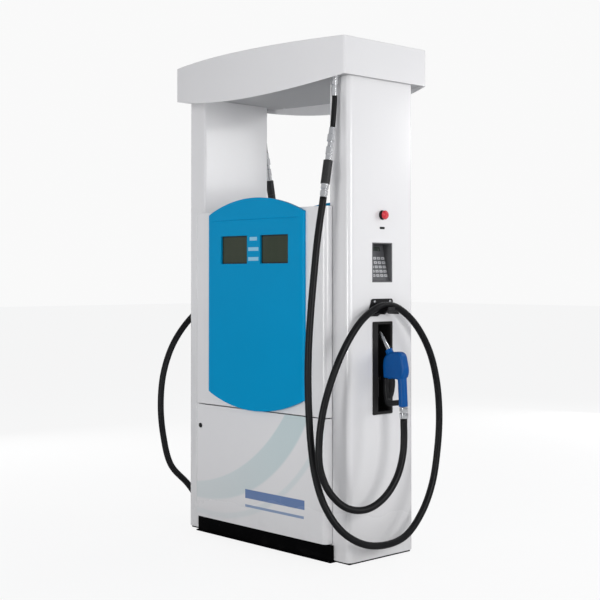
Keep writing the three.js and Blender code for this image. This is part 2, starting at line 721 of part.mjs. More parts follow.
// ---------------------------------------------------------------- hose run
// From the header: outlet, whip hose, breakaway coupling, connector, then the long hose, which
// hangs in front, loops low round the pillar, comes up behind it, goes over the hanger
// and down again to the nozzle.
const hoseFall = [
  [502, -306, 1600], [501.8, -311.3, 1570], [500, -325, 1495], [498, -342, 1390], [497, -358, 1260],
  [495, -374, 1110],
  [495, -387, 960], [496, -392, 810], [500, -390, 660], [508, -384, 520], [524, -372, 390],
  [556, -350, 275], [600, -300, 175], [632, -210, 110], [645, -80, 84], [647, 60, 104],
];
const hoseRise = {
  right: [[646, 170, 190], [642, 248, 310], [640, 288, 460], [640, 302, 620], [638, 286, 780], [634, 236, 925]],
  left: [[646, 160, 205], [643, 264, 308], [642, 312, 460], [642, 328, 620], [640, 310, 780], [635, 250, 925]],
};
const hoseHome = [
  [624, 145, 1050], [607, 48, 1119], [600, -20, 1128], [604, -92, 1111],
  [606, -178, 1062], [596, -262, 960], [580, -325, 830], [566, -368, 690], [560, -388, 550],
  [566, -385, 430], [590, -346, 330], [626, -282, 268], [660, -204, 258], [684, -122, 298],
  [696, -50, 380], [697, -10, 480], [694, 0, 560], [693, 0, 605], [693, 0, 632.7],
];

const whipTop = [...outletFrom, headerEdgeZ - outletLong];
const whipFoot = [504, -252, 1907];
const couplingLong = 222;
const whipStraight = 14;          // straight stretch at each end of the whip hose

function beyond(from, to, long) {
  const way = new THREE.Vector3(...to).sub(new THREE.Vector3(...from)).normalize();
  return new THREE.Vector3(...to).addScaledVector(way, long).toArray();
}

function makeHoseRun(side, group) {
  const [start] = hoseFall;
  const connectorLong = distance(whipFoot, start) - couplingLong;
  const couplingFoot = beyond(whipFoot, start, -connectorLong);
  const ceiling = [...outletFrom, soffitZ];
  const outletDrop = distance(ceiling, whipTop);
  const outlet = turnedAlong(stepped(outletSteps, outletDrop), ceiling, whipTop, 16);
  piece(`${side}_hose_outlet`, outlet, chrome(), group);
  const whip = [whipTop, beyond(ceiling, whipTop, whipStraight), beyond(couplingFoot, whipFoot, whipStraight),
    whipFoot];
  piece(`${side}_whip_hose`, tube(whip, whipRadius, 12, 8), rubber(), group);

  const coupling = turnedAlong(stepped(couplingSteps, couplingLong), whipFoot, couplingFoot, 16);
  piece(`${side}_breakaway_coupling`, coupling, chrome(), group);
  const connector = turnedAlong(stepped(connectorSteps, connectorLong), couplingFoot, start, 16);
  piece(`${side}_hose_connector`, connector, chrome(), group);
  const run = [...hoseFall, ...hoseRise[side], ...hoseHome];
  piece(`${side}_hose`, tube(run, hoseRadius, 10, 80), rubber(), group);
}

// ---------------------------------------------------------------- pumping gear
function groovedPulley(radius, at) {
  const half = pulleyThick / 2;
  const grooved = beltWide / 2 + touch;
  const seat = radius - beltThick - touch;
  const back = -half - shaftLong;
  return turnedAlong([[0, back], [shaft, back], [shaft, -half], [radius, -half], [radius, -grooved],
    [seat, -grooved], [seat, grooved], [radius, grooved], [radius, half], [0, half]],
    [at[0], pulleyY, at[1]], [at[0], pulleyY + 1, at[1]], 36);
}

// The belt's loop: two arcs and their outer tangents, seen from the front.
function beltLoop(extra) {
  const [big, small] = [pumpPulley - beltThick + extra, motorPulley - beltThick + extra];
  const [dx, dz] = [motorAxis[0] - pumpAxis[0], motorAxis[1] - pumpAxis[1]];
  const along = Math.atan2(dz, dx);
  const spread = Math.acos((big - small) / Math.hypot(dx, dz));
  const shape = new THREE.Shape();
  shape.absarc(...pumpAxis, big, along + spread, along - spread + 2 * Math.PI);
  shape.absarc(...motorAxis, small, along - spread, along + spread);
  return shape;
}

function makeGear() {
  const floor = footPlate + touch;
  piece('pump_pulley', groovedPulley(pumpPulley, pumpAxis), castIron());
  piece('motor_pulley', groovedPulley(motorPulley, motorAxis), castIron());
  const half = beltWide / 2;
  const belt = cut(
    crosswise(beltLoop(beltThick), pulleyY - half, pulleyY + half, 14),
    crosswise(beltLoop(0), pulleyY - half - 1, pulleyY + half + 1, 14),
  );
  piece('drive_belt', belt, rubber());

  // Pump casing and motor stand behind their pulleys, and each shaft enters a clear hole.
  const casingY = pulleyY - pulleyThick / 2 - touch - casingGap;
  const shaftHole = ([x, z]) => solid(turnedAlong(rod(shaft + running, shaftLong + 1),
    [x, casingY - shaftLong, z], [x, casingY, z], 20));
  const [px, pz] = pumpAxis;
  const [footWide, footTall] = pumpFoot;
  const pumpFloor = floor + footTall;
  const pumpFeet = [-1, 1].map((way) => {
    const outside = pumpWide / 2 - pumpFootInset;
    const ends = sorted(px + way * outside, px + way * (outside - footWide));
    return block(...ends, casingY - pumpDeep, casingY, floor, pumpFloor + 1);
  });
  const domeY = casingY - domeBack;
  const dome = solid(turnedAlong(rod(domeRadius, 2 * domeRise), [px, domeY, pumpFloor + pumpTall - domeRise],
    [px, domeY, pumpFloor + pumpTall], 24));
  const casing = block(px - pumpWide / 2, px + pumpWide / 2, casingY - pumpDeep, casingY, pumpFloor,
    pumpFloor + pumpTall);
  piece('pump_unit', cut(join(casing, ...pumpFeet, dome), shaftHole([px, pz])), castIron());

  const [mx, mz] = motorAxis;
  const motorBack = casingY - motorLong;
  const barrel = solid(turnedAlong(rod(motorRadius, motorLong), [mx, motorBack, mz], [mx, casingY, mz], 36));
  const motorFeet = [-1, 1].map((way) => {
    const x = mx + way * motorFootX;
    return block(x - motorFootHalf, x + motorFootHalf, motorBack + motorFootInset,
      casingY - motorFootInset, floor, mz);
  });
  const terminals = block(mx - terminalHalf, mx + terminalHalf,
    motorBack + terminalInset, casingY - terminalInset,
    mz, mz + motorRadius + terminalRise);
  piece('electric_motor', cut(join(barrel, ...motorFeet, terminals), shaftHole([mx, mz])), motorPaint());

  const shelfFoot = shelfZ - touch;
  Object.entries({ right: 1, left: -1 }).forEach(([side, way]) => {
    const meter = turned(stepped(meterSteps, 0, 0), 24);
    piece(`${side}_flow_meter`, meter.translate(way * meterX, way * meterY, shelfFoot), castIron());
  });
}

// ---------------------------------------------------------------- assembly
makeBase();
makeShelves();
makeHeader();
makeGear();

['front', 'rear'].forEach((side, half) => {
  const group = new THREE.Group();
  group.rotation.z = half * Math.PI;
  machine.add(group);
  makeFace(side, group);
});

['right', 'left'].forEach((side, half) => {
  const group = new THREE.Group();
  group.rotation.z = half * Math.PI;
  machine.add(group);
  [makePillar, makeStop, makeKeypad, makeHanger, makeBoot, makeNozzle, makeHoseRun].forEach((make) => {
    make(side, group);
  });
});

export default machine;
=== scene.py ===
# A two-hose fuel dispenser, dressed for looking at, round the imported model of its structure.
# Metres, +Z up, the origin on the floor under the middle. The front looks along -Y.
# What is on the front or the right is made once, and copied with half a turn for the rear or the left.
import json
import math

import bmesh
import bpy
import numpy as np
from mathutils import Matrix, Vector


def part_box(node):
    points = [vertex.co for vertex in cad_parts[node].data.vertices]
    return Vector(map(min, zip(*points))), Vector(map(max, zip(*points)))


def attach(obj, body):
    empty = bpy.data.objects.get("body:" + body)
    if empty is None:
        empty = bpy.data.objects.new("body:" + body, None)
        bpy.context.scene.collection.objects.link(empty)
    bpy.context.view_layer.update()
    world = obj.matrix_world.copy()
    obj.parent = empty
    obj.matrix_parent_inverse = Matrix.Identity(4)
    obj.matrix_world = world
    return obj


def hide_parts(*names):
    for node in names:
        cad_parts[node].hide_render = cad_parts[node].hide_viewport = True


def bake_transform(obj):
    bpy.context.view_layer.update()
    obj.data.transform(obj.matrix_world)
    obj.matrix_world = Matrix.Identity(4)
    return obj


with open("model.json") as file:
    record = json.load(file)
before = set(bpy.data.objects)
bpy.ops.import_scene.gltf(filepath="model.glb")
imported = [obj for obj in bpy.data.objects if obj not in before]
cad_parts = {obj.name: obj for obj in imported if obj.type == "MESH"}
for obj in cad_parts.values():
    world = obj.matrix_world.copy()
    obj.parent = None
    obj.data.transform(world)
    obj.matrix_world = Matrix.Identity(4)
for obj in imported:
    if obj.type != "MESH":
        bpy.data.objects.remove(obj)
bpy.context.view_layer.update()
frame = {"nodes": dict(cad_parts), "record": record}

# ------------------------------------------------------------------------------ camera
# Stands off the right-hand corner at eye level of a seated person and looks along the diagonal,
# with its frame slid down, so the machine's uprights stay upright.
lens = bpy.data.cameras.new("camera")
lens.sensor_width = 36
lens.lens = 71.57
lens.shift_y = -0.0705
camera = bpy.data.objects.new("camera", lens)
camera.location = (4.2015, -3.9189, 1.2563)
camera.rotation_euler = (math.radians(90 + 0.9), 0, math.radians(46.8))
bpy.context.scene.collection.objects.link(camera)
bpy.context.scene.camera = camera


# ------------------------------------------------------------------------------ studio floor and light
# A pale matt floor before a white backdrop. Both are bright to look at and dimmer as a source of light, so
# large lamps do the lighting, and chrome has something dark to show. Each lamp has a weaker one half a
# turn round from it, and one small lamp is there to be seen mirrored in the far pillar.
class Socket:
    """One output of a node, so that a pattern is written as plain sums."""

    def __init__(self, tree, socket):
        self.tree, self.socket = tree, socket

    def make(self, kind, settings=None, inputs=None, out=0):
        """Any node: its type, its settings, the values or links of its sockets, and which output."""
        node = self.tree.nodes.new(kind)
        for name, value in (settings or {}).items():
            setattr(node, name, value)
        for name, value in (inputs or {}).items():
            if isinstance(value, Socket):
                self.tree.links.new(value.socket, node.inputs[name])
            else:
                node.inputs[name].default_value = value
        return Socket(self.tree, node.outputs[out])

    def maths(self, operation, other=None, first=None):
        inputs = {0: self if first is None else first}
        if other is not None:
            inputs[1] = other
        return self.make("ShaderNodeMath", {"operation": operation}, inputs)

    def __add__(self, other):
        return self.maths("ADD", other)

    def __sub__(self, other):
        return self.maths("SUBTRACT", other)

    def __rsub__(self, other):
        return self.maths("SUBTRACT", self, other)

    def __mul__(self, other):
        return self.maths("MULTIPLY", other)

    def __truediv__(self, other):
        return self.maths("DIVIDE", other)

    def __pow__(self, other):
        return self.maths("POWER", other)

    def __gt__(self, other):
        return self.maths("GREATER_THAN", other)

    __radd__, __rmul__ = __add__, __mul__

    def abs(self):
        return self.maths("ABSOLUTE")

    def sign(self):
        return self.maths("SIGN")

    def sine(self):
        return self.maths("SINE")

    def fraction(self):
        return self.maths("FRACT")

    def step(self, low, high):
        """0 below low, 1 above high, and a soft climb between."""
        return self.make("ShaderNodeMapRange", {"interpolation_type": "SMOOTHSTEP"},
                         {"Value": self, "From Min": low, "From Max": high})

    def within(self, middle, half, soft):
        """1 where this lies inside middle plus or minus half, with an edge this soft."""
        return 1 - (self - middle).abs().step(half - soft, half + soft)

    def parts(self):
        node = self.tree.nodes.new("ShaderNodeSeparateXYZ")
        self.tree.links.new(self.socket, node.inputs[0])
        return [Socket(self.tree, out) for out in node.outputs]

    def noise(self, scale, detail=4, roughness=0.5):
        return self.make("ShaderNodeTexNoise", {}, {"Vector": self, "Scale": scale, "Detail": detail,
                                                    "Roughness": roughness})

    def stretched(self, scale):
        return self.make("ShaderNodeMapping", {}, {"Vector": self, "Scale": scale})

    def mixed(self, low, high):
        """Colour low where this is 0, and high where it is 1."""
        rgb = [c if isinstance(c, Socket) else (*c, 1) for c in (low, high)]
        return self.make("ShaderNodeMix", {"data_type": "RGBA"}, {0: self, 6: rgb[0], 7: rgb[1]}, 2)

    def bump(self, distance, strength=1.0):
        return self.make("ShaderNodeBump", {}, {"Height": self, "Distance": distance, "Strength": strength})


def finish(name, roughness, metallic=0.0, **uniform):
    """A material with one shader. Gives the material, its place on the piece, and a way to feed it."""
    material = bpy.data.materials.new(name)
    material.use_nodes = True
    tree = material.node_tree
    shader = tree.nodes["Principled BSDF"]
    shader.inputs["Roughness"].default_value = roughness
    shader.inputs["Metallic"].default_value = metallic
    for key, value in uniform.items():
        shader.inputs[key.replace("_", " ")].default_value = value
    place = Socket(tree, tree.nodes.new("ShaderNodeTexCoord").outputs["Object"])

    def feed(**links):
        for key, value in links.items():
            tree.links.new(value.socket, shader.inputs[key.replace("_", " ")])

    return material, place, feed


backdrop_white = 0.95
floor_glow = 1.08
floor_share = 0.8
lamp_aim = (0, 0, 1.25)
lamp_size = 1.5
floor_paint, at, feed = finish("studio_floor", 0.6)
feed(Base_Color=at.noise(1.5, 2).mixed((0.53, 0.53, 0.53), (0.55, 0.55, 0.55)))
tree = floor_paint.node_tree
seen = at.make("ShaderNodeLightPath")
glow = at.make("ShaderNodeEmission", {}, {"Color": (1, 1, 1, 1), "Strength": floor_glow})
dull = Socket(tree, tree.nodes["Principled BSDF"].outputs[0])
surface = at.make("ShaderNodeMixShader", {}, {0: seen * floor_share, 1: dull, 2: glow})
tree.links.new(surface.socket, tree.nodes["Material Output"].inputs["Surface"])
bpy.ops.object.select_all(action="DESELECT")
bpy.ops.mesh.primitive_plane_add(size=80)
floor = bpy.context.object
floor.name = "studio_floor"
floor.data.materials.append(floor_paint)

world = bpy.data.worlds.new("studio")
world.use_nodes = True
tree = world.node_tree
up = Socket(tree, tree.nodes.new("ShaderNodeTexCoord").outputs["Generated"]).parts()[2]
sky = up.step(0.0, 0.8).mixed((0.58, 0.58, 0.59), (0.33, 0.34, 0.36))
shown = up.make("ShaderNodeLightPath").mixed(sky, (backdrop_white,) * 3)
tree.links.new(shown.socket, tree.nodes["Background"].inputs[0])
bpy.context.scene.world = world
bpy.context.scene.view_settings.view_transform = "Standard"


def studio_lamp(name, place, size, watts, mirrored=False):
    lamp = bpy.data.lights.new(name, "AREA")
    lamp.shape, lamp.size, lamp.energy = "SQUARE", size, watts
    holder = bpy.data.objects.new(name, lamp)
    holder.location = place
    holder.visible_glossy, holder.visible_camera = mirrored, False
    holder.rotation_euler = (Vector(lamp_aim) - Vector(place)).to_track_quat("-Z", "Y").to_euler()
    bpy.context.scene.collection.objects.link(holder)


for name, (x, y, z), watts, across, mirrored in (
    ("end", (4.3, -0.5, 1.7), 56, 50, True), ("corner", (3.2, 3.6, 1.9), 66, 12, False),
    ("face", (1.9, -6.0, 2.9), 46, 70, False), ("low", (1.4, -5.8, 0.9), 76, 50, True),
):
    studio_lamp(f"{name}_light", (x, y, z), lamp_size, watts, mirrored)
    studio_lamp(f"{name}_light_across", (-x, -y, z), lamp_size, across)
studio_lamp("window_light", (1.2, 1.28, 2.05), 0.42, 3.0, mirrored=True)

# ------------------------------------------------------------------------------ hoses
# Black rubber fuel hose over a wire braid. The long one hangs in front of the pillar, loops low round it,
# comes up behind, goes over the hanger and down again into the nozzle's swivel. The left one stands out a
# little further behind its pillar. A short stiff whip hose joins each outlet to its breakaway coupling.
nodes = frame["nodes"]
SIDES = {"right": 1, "left": -1}
hose_width = 0.031
whip_width = 0.023
tube_sides = 24
hose_ring_gap = 0.0145
whip_ring_gap = 0.006
hose_length = {"right": 4.74, "left": 4.78}
whip_length = 0.143
hose_fall = [
    (502, -306, 1600), (501.8, -311.3, 1570), (500, -325, 1495), (498, -342, 1390), (497, -358, 1260),
    (495, -374, 1110), (495, -387, 960), (496, -392, 810), (500, -390, 660), (508, -384, 520),
    (524, -372, 390), (556, -350, 275), (600, -300, 175), (632, -210, 110), (645, -80, 84), (647, 60, 104),
]
hose_rise = {
    "right": [(646, 170, 190), (642, 248, 310), (640, 288, 460), (640, 302, 620), (638, 286, 780),
              (634, 236, 925)],
    "left": [(646, 160, 205), (643, 264, 308), (642, 312, 460), (642, 328, 620), (640, 310, 780),
             (635, 250, 925)],
}
hose_home = [
    (624, 145, 1050), (607, 48, 1119), (600, -20, 1128), (604, -92, 1111), (606, -178, 1062),
    (596, -262, 960), (580, -325, 830), (566, -368, 690), (560, -388, 550), (566, -385, 430),
    (590, -346, 330), (626, -282, 268), (660, -204, 258), (684, -122, 298), (696, -50, 380),
    (697, -10, 480), (694, 0, 560), (693, 0, 605), (693, 0, 632.7),
]
whip_route = [(505, -240, 2047), (505, -240, 2033), (504.1, -249.6, 1920.8), (504, -252, 1907)]


def smooth_line(points, steps=24):
    """The centripetal curve through the points, as close-set places in metres."""
    knots = [Vector(p) / 1000 for p in points]
    knots = [2 * knots[0] - knots[1]] + knots + [2 * knots[-1] - knots[-2]]
    line = []
    for a, b, c, d in zip(knots, knots[1:], knots[2:], knots[3:]):
        t0, t1, t2 = ((q - p).length ** 0.5 for p, q in ((a, b), (b, c), (c, d)))
        leave = ((b - a) / t0 - (c - a) / (t0 + t1) + (c - b) / t1) * t1
        reach = ((c - b) / t1 - (d - b) / (t1 + t2) + (d - c) / t2) * t1
        for i in range(steps):
            u = i / steps
            line.append(b + leave * u + (3 * (c - b) - 2 * leave - reach) * u ** 2
                        + (leave + reach - 2 * (c - b)) * u ** 3)
    return line + [knots[-2]]


def evenly(line, spacing):
    """Places a set distance apart along a line, with both its ends."""
    lengths = np.cumsum([0] + [(q - p).length for p, q in zip(line, line[1:])])
    count = max(2, round(lengths[-1] / spacing))
    wanted = np.linspace(0, lengths[-1], count + 1)
    return [Vector(p) for p in zip(*(np.interp(wanted, lengths, [v[i] for v in line]) for i in range(3)))]


def rubber_tube(name, line, width, sides):
    """A capped tube round the line, with its turn and its run in metres kept in the UV map."""
    across = (line[1] - line[0]).orthogonal().normalized()
    build = bmesh.new()
    rings = []
    for i, place in enumerate(line):
        way = (line[min(i + 1, len(line) - 1)] - line[max(i - 1, 0)]).normalized()
        across = (across - way * across.dot(way)).normalized()
        beside = way.cross(across)
        turns = [2 * math.pi * k / sides for k in range(sides)]
        rings.append([build.verts.new(place + (across * math.cos(t) + beside * math.sin(t)) * width / 2)
                      for t in turns])
    uv = build.loops.layers.uv.new("along")
    run = 0
    for i, (low, high) in enumerate(zip(rings, rings[1:])):
        reach = (line[i + 1] - line[i]).length
        for k in range(sides):
            m = (k + 1) % sides
            face = build.faces.new((low[k], low[m], high[m], high[k]))
            face.smooth = True
            corners = ((k, run), (k + 1, run), (k + 1, run + reach), (k, run + reach))
            for loop, (turn, far) in zip(face.loops, corners):
                loop[uv].uv = (turn / sides, far)
        run += reach
    build.faces.new(rings[0][::-1])
    build.faces.new(rings[-1])
    mesh = bpy.data.meshes.new(name)
    build.to_mesh(mesh)
    build.free()
    tube = bpy.data.objects.new(name, mesh)
    bpy.context.scene.collection.objects.link(tube)
    return tube


# The cover is ground smooth, shows the fine spiral of the wrapping it was cured in, and is scuffed
# and dusty.
wraps_per_metre = 210
hose_black, at, feed = finish("hose_rubber", 0.4, Specular_IOR_Level=0.2)
turn, run, _ = at.make("ShaderNodeUVMap", {"uv_map": "along"}).parts()
wrap = ((run * wraps_per_metre + turn) * (2 * math.pi)).sine()
scuffs = at.stretched((1, 1, 0.25)).noise(46, 6, 0.62).step(0.52, 0.68)
dust = at.noise(7, 4).step(0.4, 0.75)
feed(Base_Color=(dust * 0.45 + scuffs * 0.35).mixed((0.0035, 0.0035, 0.0042), (0.015, 0.015, 0.016)),
     Roughness=0.38 + dust * 0.16 + scuffs * 0.12,
     Normal=(wrap * 0.35 + at.noise(900, 2) * 0.8).bump(0.00012, 0.6))

for side, way in SIDES.items():
    whip_line = evenly(smooth_line(whip_route), whip_ring_gap)
    hose_line = evenly(smooth_line(hose_fall + hose_rise[side] + hose_home), hose_ring_gap)
    for kind, line, width, length, fitting in (
        ("whip_hose", whip_line, whip_width, whip_length, "breakaway_coupling"),
        ("hose", hose_line, hose_width, hose_length[side], "hose_connector"),
    ):
        path = [Vector((p.x * way, p.y * way, p.z)) for p in line]
        hose = rubber_tube(f"{side}_rubber_{kind}", path, width, tube_sides)
        hose.data.materials.append(hose_black)
        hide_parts(f"{side}_{kind}")
        if kind == "hose":
            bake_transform(hose)
        else:
            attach(hose, "frame")

# ------------------------------------------------------------------------------ base frame
# A welded plinth of black powder-coated steel: kick plates on the front and rear, a floor flange,
# and ledges that carry the cabinet.
record = frame["record"]
body_of = {node: body for body, members in record["behaviour"]["bodies"].items() for node in members}


def only(piece):
    bpy.ops.object.select_all(action="DESELECT")
    piece.select_set(True)
    bpy.context.view_layer.objects.active = piece


def settle(piece, material, body, smooth=32):
    """Applies the modifiers, shades the mesh and hands the piece to its body and its finish."""
    only(piece)
    for modifier in list(piece.modifiers):
        bpy.ops.object.modifier_apply(modifier=modifier.name)
    bpy.ops.object.transform_apply(location=True, rotation=True, scale=True)
    bpy.ops.object.shade_smooth_by_angle(angle=math.radians(smooth))
    weigh = piece.modifiers.new("weighted", "WEIGHTED_NORMAL")
    weigh.keep_sharp = True
    bpy.ops.object.modifier_apply(modifier=weigh.name)
    piece.data.materials.clear()
    piece.data.materials.append(material)
    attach(piece, body)


def merged_copy(node, name):
    """A copy of a CAD node with its doubles merged and its flat faces made whole."""
    piece = bpy.data.objects.new(name, nodes[node].data.copy())
    bpy.context.scene.collection.objects.link(piece)
    only(piece)
    bpy.ops.object.mode_set(mode="EDIT")
    bpy.ops.mesh.select_all(action="SELECT")
    bpy.ops.mesh.remove_doubles(threshold=2e-5)
    bpy.ops.mesh.dissolve_limited(angle_limit=math.radians(0.6))
    bpy.ops.object.mode_set(mode="OBJECT")
    return piece


def softened(node, name, material, width, segments=2, angle=34):
    """A copy of a CAD node with its edges rounded, which stands for it."""
    piece = merged_copy(node, name)
    round_edges = piece.modifiers.new("rounded", "BEVEL")
    round_edges.width, round_edges.segments = width, segments
    round_edges.limit_method, round_edges.angle_limit = "ANGLE", math.radians(angle)
    settle(piece, material, body_of[node])
    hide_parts(node)


powder_black, at, feed = finish("black_powder_coat", 0.6, Specular_IOR_Level=0.03)
dust = at.noise(9, 5, 0.6).step(0.45, 0.8) * (1 - at.parts()[2].step(0.0, 0.07))
feed(Base_Color=(dust * 0.6).mixed((0.0008, 0.0008, 0.0011), (0.012, 0.0115, 0.011)),
     Roughness=0.50 + at.noise(600, 2) * 0.12 + dust * 0.2,
     Normal=at.noise(700, 3).bump(0.0002, 0.5))
softened("base_frame", "plinth", powder_black, 0.0015)

# ------------------------------------------------------------------------------ pillars
# Hollow pillars folded from sheet steel and sprayed with a gloss white enamel, which has the faint orange
# peel of a sprayed coat, hairline rubs and splashes near the floor; the paint is also greyed towards the
# floor as painted shade.
def white_enamel(name, pattern=None):
    """Gloss white sprayed on sheet steel. A pattern gives the colour over which the dirt and the painted
    shade lie.
    """
    material, at, feed = finish(name, 0.2, Coat_Roughness=0.08)
    z = at.parts()[2]
    cloudy = at.noise(2.2, 3)
    paint = cloudy.mixed((0.735, 0.730, 0.742), (0.765, 0.762, 0.768))
    if pattern:
        paint = pattern(at, paint)
    splashes = at.noise(13, 6, 0.65).step(0.35, 0.7)
    # Painted shade: below 0.62 m the paint is greyed towards the floor, standing in for the shade there. The
    # splashes in the lowest 0.2 m are real road dirt.
    low = (1 - z.step(0.05, 0.62)) * 0.55 + (1 - z.step(0.03, 0.2)) * splashes * 0.45
    rubs = at.stretched((1, 1, 0.06)).noise(160, 5, 0.7).step(0.66, 0.8)
    feed(Base_Color=(low * 0.42 + rubs * 0.05).mixed(paint, (0.47, 0.46, 0.455)),
         Roughness=0.18 + cloudy * 0.07 + rubs * 0.1 + low * 0.12,
         Coat_Weight=0.3 - low * 0.2,
         Normal=(at.noise(120, 2) + at.noise(420, 1) * 0.4).bump(0.00022, 0.18))
    return material


enamel = white_enamel("white_enamel")
for side in SIDES:
    softened(f"{side}_pillar", f"{side}_pillar_cover", enamel, 0.0008)

# ------------------------------------------------------------------------------ header
# A bowed fascia over the pillars, rolled and welded from sheet and sprayed white like them,
# closed from below by a grey soffit that is held with pan-head screws.
softened("header_shell", "header_fascia", enamel, 0.0028, 3)

soffit_grey, at, feed = finish("soffit_grey", 0.42)
mottle = at.noise(5, 4)
feed(Base_Color=mottle.mixed((0.42, 0.42, 0.425), (0.47, 0.47, 0.475)), Roughness=0.36 + mottle * 0.16,
     Normal=at.noise(260, 3).bump(0.0003, 0.35))
softened("header_soffit", "soffit_panel", soffit_grey, 0.0008)

bright_zinc, at, feed = finish("bright_zinc", 0.28, 1.0)
tarnish = at.noise(240, 4)
feed(Base_Color=tarnish.mixed((0.62, 0.63, 0.65), (0.80, 0.81, 0.82)), Roughness=0.22 + tarnish * 0.2,
     Normal=at.noise(1500, 2).bump(0.00008, 0.5))


def turned(name, profile, sides=32):
    """A piece turned about Z: a disc, then one ring after another of (radius, height), capped at the end."""
    bpy.ops.object.select_all(action="DESELECT")
    radius, height = profile[0]
    bpy.ops.mesh.primitive_circle_add(vertices=sides, radius=radius, location=(0, 0, height),
                                      fill_type="NGON")
    piece = bpy.context.object
    piece.name = piece.data.name = name
    bpy.ops.object.transform_apply(location=True, rotation=True, scale=True)
    bpy.ops.object.mode_set(mode="EDIT")
    bpy.ops.mesh.select_all(action="SELECT")
    for r, h in profile[1:]:
        bpy.ops.mesh.extrude_region_move(TRANSFORM_OT_translate={"value": (0, 0, h - height)})
        bpy.ops.transform.resize(value=(r / radius, r / radius, 1), center_override=(0, 0, h))
        radius, height = r, h
    bpy.ops.mesh.select_all(action="SELECT")
    bpy.ops.mesh.normals_make_consistent(inside=False)
    bpy.ops.object.mode_set(mode="OBJECT")
    return piece


def aimed(piece, place, way):
    """Lays a piece made along Z at its place, with its axis turned to point this way."""
    turn = Vector(way).normalized().to_track_quat("Z", "Y").to_matrix().to_4x4()
    piece.data.transform(Matrix.Translation(Vector(place)) @ turn)
    return piece


def copied(piece, name, matrix):
    other = bpy.data.objects.new(name, piece.data.copy())
    other.data.transform(matrix)
    bpy.context.scene.collection.objects.link(other)
    return other


half_turn = Matrix.Rotation(math.pi, 4, "Z")
screw_profile = [(0.0052, 0), (0.0060, 0.0004), (0.0060, 0.0018), (0.0050, 0.0032), (0.0034, 0.0038),
                 (0.0028, 0.0038), (0.0026, 0.0016)]


def screws(name, places, way, size=1.0):
    """Bright socket screws at these places on the frame, and again half a turn round."""
    for i, place in enumerate(places):
        head = turned(f"{name}_{i + 1}", [(r * size, h * size) for r, h in screw_profile], 20)
        settle(aimed(head, place, way), bright_zinc, "frame")
        other = copied(head, f"{name}_{i + 1}_across", half_turn)
        settle(other, bright_zinc, "frame")


soffit_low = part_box("header_soffit")[0][2]
soffit_screws = [(x, y, soffit_low) for x, y in ((0.40, -0.29), (0.0, -0.325), (-0.40, -0.29))]
screws("soffit_screw", soffit_screws, (0, 0, -1))

# ------------------------------------------------------------------------------ cabinet covers
# Two sheet pans on each face: a fixed upper one and a hinged door, both white enamel with rolled uprights.
# The door carries broad pale green-blue sweeps, and two plain bars where a maker would put a name.
FACES = ("front", "rear")
outer_skin = 0.25
sweep_colour = (0.545, 0.640, 0.655)
sweeps = (
    ((-0.558, 1.175, 0.933), (-0.404, 1.032, 0.859), 1.0),
    ((-0.330, 0.984, 0.866), (-0.330, 0.984, 0.893), 0.5),
)
bar_colours = ((0.045, 0.135, 0.36), (0.17, 0.27, 0.46))
bars = ((0.125, 0.236, 0.203, 0.021), (0.123, 0.180, 0.201, 0.006))


def door_graphics(at, paint):
    x, y, z = at.parts()
    x = x * y.sign() * -1
    ahead = y.abs() > outer_skin
    for inside, outside, strength in sweeps:
        near, far = ((((x - cx) ** 2 + (z - cz) ** 2) ** 0.5) - r for cx, cz, r in (inside, outside))
        band = near.step(-0.006, 0.006) * (1 - far.step(-0.008, 0.008))
        fade = 0.55 + x.step(-0.45, 0.30) * 0.45
        paint = (band * ahead * fade * strength).mixed(paint, sweep_colour)
    for colour, (mx, mz, half_x, half_z) in zip(bar_colours, bars):
        bar = x.within(mx, half_x, 0.0004) * z.within(mz, half_z, 0.0004)
        paint = (bar * ahead).mixed(paint, colour)
    return paint


door_enamel = white_enamel("door_enamel", door_graphics)
for face in FACES:
    softened(f"{face}_upper_panel", f"{face}_upper_cover", enamel, 0.0016, 3)
    softened(f"{face}_lower_door", f"{face}_door_cover", door_enamel, 0.0016, 3)
softened("cabinet_top", "cabinet_lid", enamel, 0.0008)
softened("vapour_shelf", "vapour_floor", soffit_grey, 0.0008)

# ------------------------------------------------------------------------------ dial panels
# A moulded blue cover with an arched crown and foot, rolled back at both upright edges,
# with a fine crease under the crown and two openings for the displays.
dial_blue, at, feed = finish("dial_blue", 0.3, Specular_IOR_Level=0.06)
cloudy = at.noise(3, 3)
rubs = at.stretched((1, 1, 0.1)).noise(190, 5, 0.7).step(0.66, 0.82)
feed(Base_Color=(cloudy * 0.7 + rubs * 0.2).mixed((0.0, 0.265, 0.525), (0.0, 0.297, 0.585)),
     Roughness=0.26 + cloudy * 0.08 + rubs * 0.12,
     Normal=at.noise(330, 2).bump(0.0002, 0.22))
for face in FACES:
    softened(f"{face}_dial_panel", f"{face}_dial_cover", dial_blue, 0.0012, 3, 40)

# Between the displays, three plain pale strips where the units would be printed.
label_pale, at, feed = finish("label_pale", 0.35)
fleck = at.noise(900, 3)
feed(Base_Color=fleck.mixed((0.22, 0.50, 0.68), (0.34, 0.60, 0.76)), Roughness=0.3 + fleck * 0.2,
     Normal=fleck.bump(0.00005, 0.4))
dial_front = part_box("front_dial_panel")[0][1]
label_thick, label_tall = 0.0008, 0.017
for i, (height, half) in enumerate(((1.432, 0.026), (1.384, 0.036), (1.338, 0.036))):
    bpy.ops.object.select_all(action="DESELECT")
    bpy.ops.mesh.primitive_cube_add(size=1, location=(0, dial_front - 0.0002, height))
    strip = bpy.context.object
    strip.scale = (2 * half, label_thick, label_tall)
    strip.name = strip.data.name = f"front_label_strip_{i + 1}"
    bpy.ops.object.transform_apply(location=True, rotation=True, scale=True)
    bpy.ops.object.mode_set(mode="EDIT")
    bpy.ops.mesh.select_all(action="SELECT")
    bpy.ops.mesh.bevel(offset=0.0003, segments=2, affect="EDGES")
    bpy.ops.object.mode_set(mode="OBJECT")
    rear = copied(strip, f"rear_label_strip_{i + 1}", half_turn)
    for piece in (strip, rear):
        settle(piece, label_pale, "frame")

